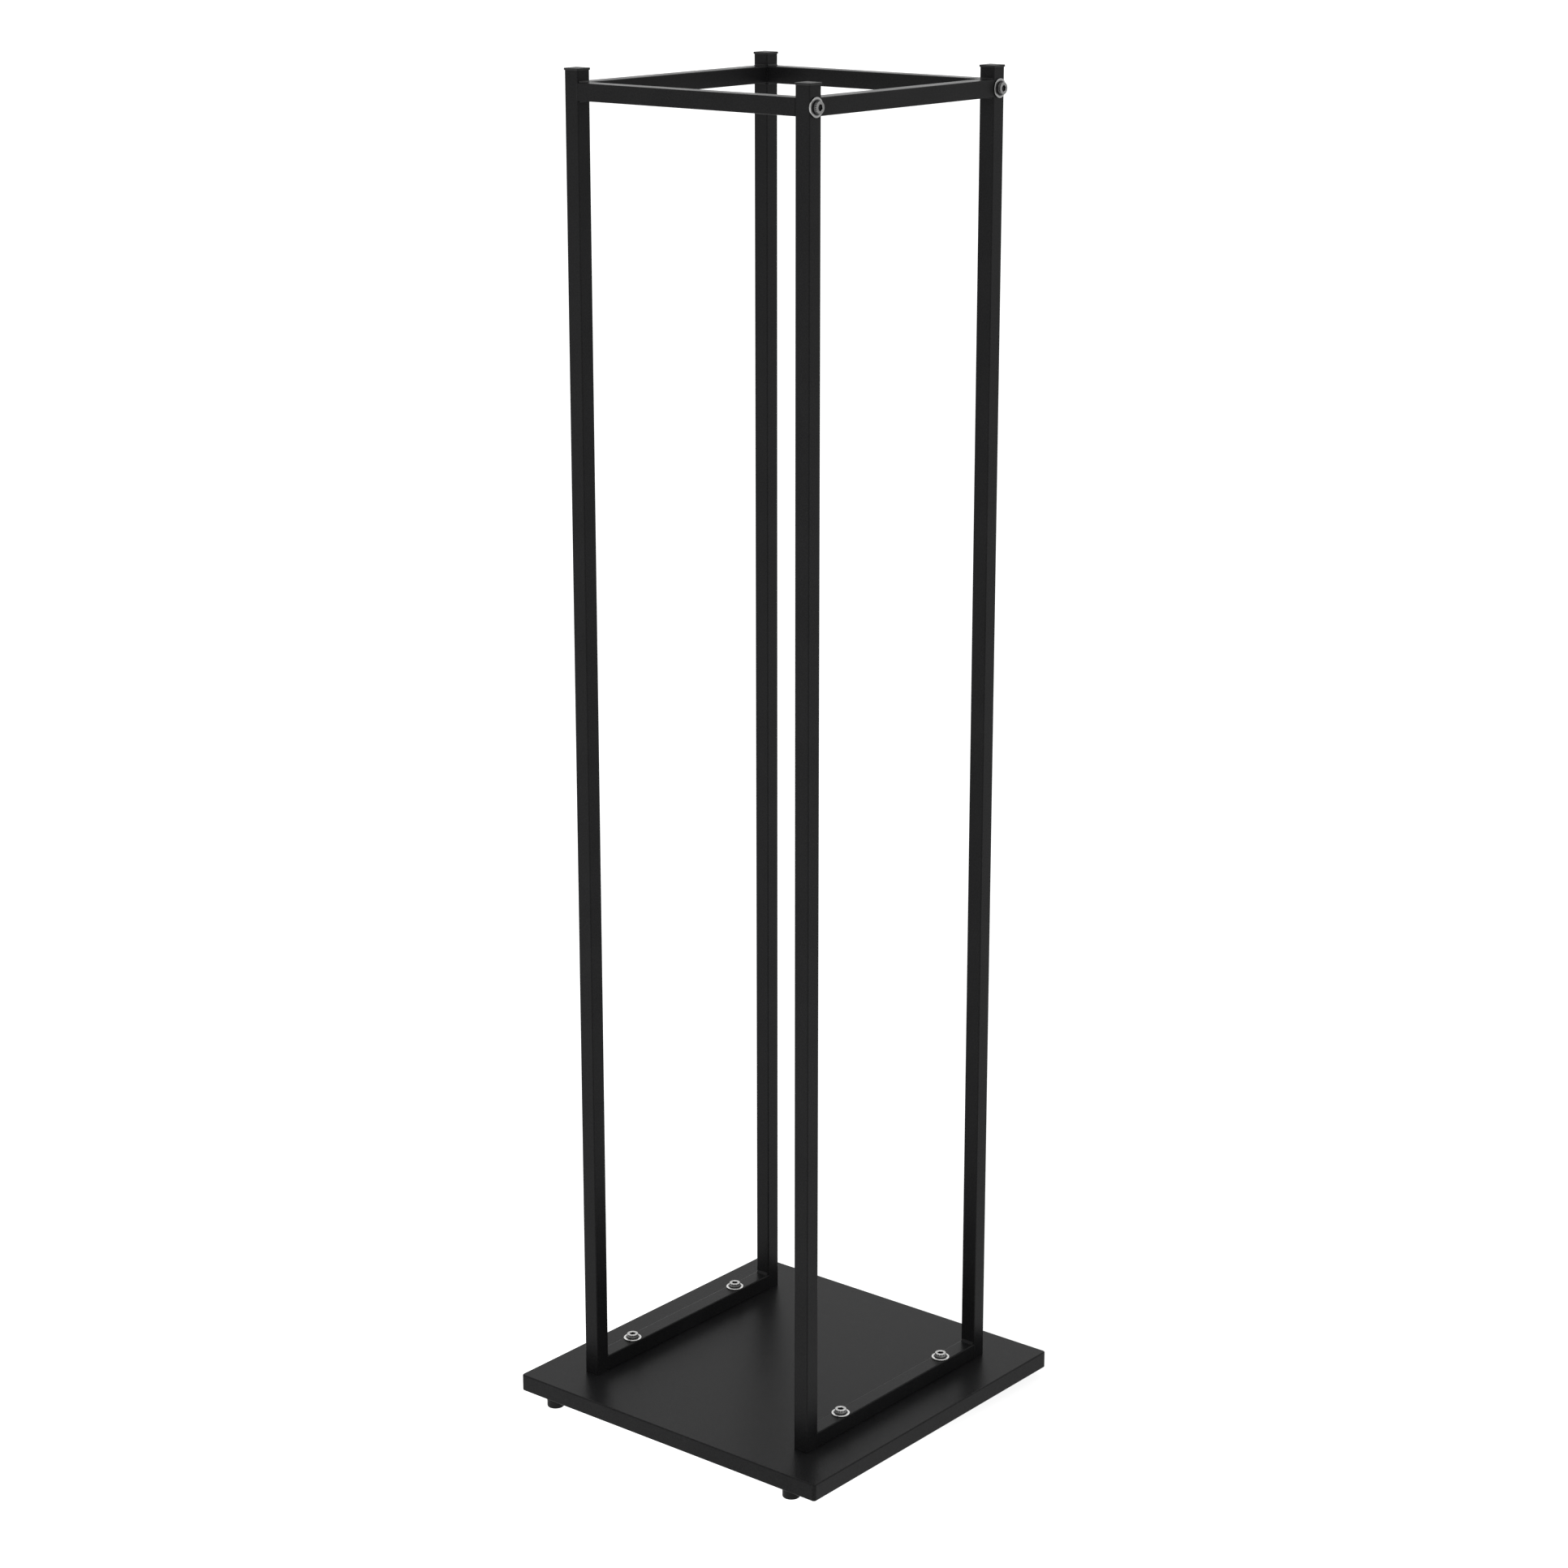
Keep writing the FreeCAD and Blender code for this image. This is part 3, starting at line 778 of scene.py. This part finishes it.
def rounded_square(half, radius):
    """Outline of a square with rounded corners, evenly spaced by its own length: a disc
    of the corner radius carried round a smaller square."""
    turn = (np.arange(CAP_CORNER_STEPS) + 0.5) * 2 * np.pi / CAP_CORNER_STEPS
    x = (half - radius) * np.sign(np.cos(turn)) + radius * np.cos(turn)
    y = (half - radius) * np.sign(np.sin(turn)) + radius * np.sin(turn)
    x, y = np.append(x, x[0]), np.append(y, y[0])
    walked = np.append(0.0, np.cumsum(np.hypot(np.diff(x), np.diff(y))))
    even = np.arange(CAP_AROUND) * walked[-1] / CAP_AROUND
    return np.stack([np.interp(even, walked, x), np.interp(even, walked, y)], -1)


def cap_shell(half, top, leg_half, leg_bottom):
    """Square rings from the middle of the dome, over its edge, under the flange, down the
    leg, round its rim and up inside. A dome ring at share s of the half width is drawn
    down by a power of s times the crown's height."""
    share = np.linspace(0.10, 1.0, 10)
    reach = half - CAP_EDGE
    dome = np.stack([reach * share, np.minimum(CAP_CORNER, reach * share * 0.5),
                     top - CAP_CROWN * share ** CAP_CROWN_POWER], -1)
    turn = np.radians(np.linspace(70, 0, 5))
    edge = np.stack([reach + CAP_EDGE * np.cos(turn), np.full(5, CAP_CORNER),
                     top - CAP_CROWN - CAP_EDGE * (1 - np.sin(turn))], -1)
    under = [(half, CAP_CORNER, CAP_LIP), (half - 0.08 * MM, CAP_CORNER, 0.08 * MM),
             (half - CAP_LIP, CAP_CORNER, 0.0), (leg_half + 0.1 * MM, CAP_LEG_CORNER, 0.0),
             (leg_half, CAP_LEG_CORNER, -0.2 * MM),
             (leg_half, CAP_LEG_CORNER, leg_bottom + 0.5 * MM),
             (leg_half - 0.3 * MM, CAP_LEG_CORNER, leg_bottom),
             (leg_half - CAP_LEG_WALL, CAP_LEG_CORNER, leg_bottom),
             (leg_half - CAP_LEG_WALL, CAP_LEG_CORNER, -0.2 * MM),
             (leg_half * 0.3, CAP_LEG_CORNER, 0.0)]
    rings = np.vstack([dome, edge, under])
    outline = [rounded_square(size, radius) for size, radius, _ in rings]
    height = np.repeat(rings[:, 2:], CAP_AROUND, 1)[..., None]
    return np.concatenate([np.array(outline), height], -1)


for place in PLACES:
    name = "end_cap_" + place
    low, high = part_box(name)
    post_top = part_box("post_" + place)[1].z
    middle = centre_of(name)
    rows = cap_shell((high.x - low.x) / 2, high.z - post_top, CAP_LEG_HALF, low.z - post_top)
    rows = rows + np.array([middle.x, middle.y, post_top])
    piece("moulded_cap_" + place, [shell(rows, "poles")], cap_plastic, "cap_plastic", name)


# ---------------------------------------------------------------- studio
# A plain pale floor that runs far past the rack and glows most towards the left front, an even
# bright sky of diffusers that dims a little towards the horizon, and three weak soft boxes.

FLOOR_HALF = 60.0
FLOOR_Z = -0.05 * MM
KEY_SIDE = (-0.632, -0.775, 0.0)
PAPER_TOOTH = 4 * MM
PAPER = (0.10, 0.10, 0.10)
PAPER_HIGH = (0.12, 0.12, 0.12)
PAPER_GLOW = 0.90
PAPER_GLOW_FAR = (1.0, 1.0, 1.0)
PAPER_GLOW_KEY = (1.55, 1.55, 1.55)
SKY_HORIZON = 1.0
SKY_HIGH = 1.25
SKY_HIGH_FROM = 0.75

floor_mesh = bpy.data.meshes.new("studio_floor")
floor_mesh.from_pydata([(-FLOOR_HALF, -FLOOR_HALF, FLOOR_Z), (FLOOR_HALF, -FLOOR_HALF, FLOOR_Z),
                        (FLOOR_HALF, FLOOR_HALF, FLOOR_Z), (-FLOOR_HALF, FLOOR_HALF, FLOOR_Z)],
                       [], [(0, 1, 2, 3)])
floor = bpy.data.objects.new("studio_floor", floor_mesh)
bpy.context.scene.collection.objects.link(floor)
floor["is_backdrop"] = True

paper = Finish("studio_paper")
tooth = paper.noise(PAPER_TOOTH, 2.0)
outward = paper.node("ShaderNodeVectorMath", {"operation": "NORMALIZE"}, {0: paper.placed()})
toward_key = paper.node("ShaderNodeVectorMath", {"operation": "DOT_PRODUCT"}, {
    0: outward.outputs[0], 1: KEY_SIDE})
key_share = Varying(paper, toward_key.outputs["Value"]) * 0.5 + 0.5
floor_mesh.materials.append(paper.skin({
    "Base Color": paper.blend(tooth, PAPER, PAPER_HIGH),
    "Roughness": 0.9,
    "Specular IOR Level": 0.1,
    "Emission Color": paper.blend(key_share, PAPER_GLOW_FAR, PAPER_GLOW_KEY),
    "Emission Strength": PAPER_GLOW}))

world = bpy.data.worlds.new("studio_world")
bpy.context.scene.world = world
world.use_nodes = True
sky = world.node_tree
sky.nodes.clear()
direction = sky.nodes.new("ShaderNodeTexCoord")
split = sky.nodes.new("ShaderNodeSeparateXYZ")
ramp = sky.nodes.new("ShaderNodeValToRGB")
glow = sky.nodes.new("ShaderNodeBackground")
out = sky.nodes.new("ShaderNodeOutputWorld")
for stop, place, level in zip(ramp.color_ramp.elements, (0.0, SKY_HIGH_FROM),
                              (SKY_HORIZON, SKY_HIGH)):
    stop.position = place
    stop.color = (level, level, level, 1.0)
sky.links.new(direction.outputs["Generated"], split.inputs[0])
sky.links.new(split.outputs["Z"], ramp.inputs[0])
sky.links.new(ramp.outputs[0], glow.inputs["Color"])
sky.links.new(glow.outputs[0], out.inputs[0])
glow.inputs["Strength"].default_value = 1.0


# each soft box's name, place, the height it aims at over the origin, its size and its watts
SOFT_BOXES = (("overhead_box", (0.3, 0.6, 3.6), 0.4, (3.0, 3.0), 30.0),
              ("right_box", (3.4, -0.8, 1.8), 0.6, (1.6, 2.4), 1.0),
              ("left_box", (-3.2, -1.6, 1.9), 0.6, (1.6, 2.4), 3.0))

for name, spot, aim, size, watts in SOFT_BOXES:
    lamp = bpy.data.lights.new(name, "AREA")
    lamp.shape = "RECTANGLE"
    lamp.size, lamp.size_y = size
    lamp.energy = watts
    holder = bpy.data.objects.new(name, lamp)
    holder.location = spot
    holder.rotation_mode = "QUATERNION"
    toward = Vector((0.0, 0.0, aim)) - Vector(spot)
    holder.rotation_quaternion = toward.to_track_quat("-Z", "Y")
    bpy.context.scene.collection.objects.link(holder)

CAMERA_SPOT = (1.8785, -2.3046, 1.4372)
CAMERA_AZIMUTH = np.radians(39.213)
CAMERA_TILT = np.radians(15.389)
CAMERA_SENSOR = 36.0
CAMERA_LENS = 79.27
CAMERA_SHIFT = -0.02
CAMERA_NEAR = 0.05
CAMERA_FAR = 200.0

lens = bpy.data.cameras.new("studio_camera")
lens.sensor_width = CAMERA_SENSOR
lens.lens = CAMERA_LENS
lens.shift_y = CAMERA_SHIFT
lens.clip_start = CAMERA_NEAR
lens.clip_end = CAMERA_FAR
camera = bpy.data.objects.new("studio_camera", lens)
back = Vector((np.sin(CAMERA_AZIMUTH) * np.cos(CAMERA_TILT),
               -np.cos(CAMERA_AZIMUTH) * np.cos(CAMERA_TILT), np.sin(CAMERA_TILT)))
camera.location = CAMERA_SPOT
camera.rotation_mode = "QUATERNION"
camera.rotation_quaternion = (-back).to_track_quat("-Z", "Y")
bpy.context.scene.collection.objects.link(camera)
bpy.context.scene.camera = camera
bpy.context.scene.view_settings.view_transform = "Standard"

low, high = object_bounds()
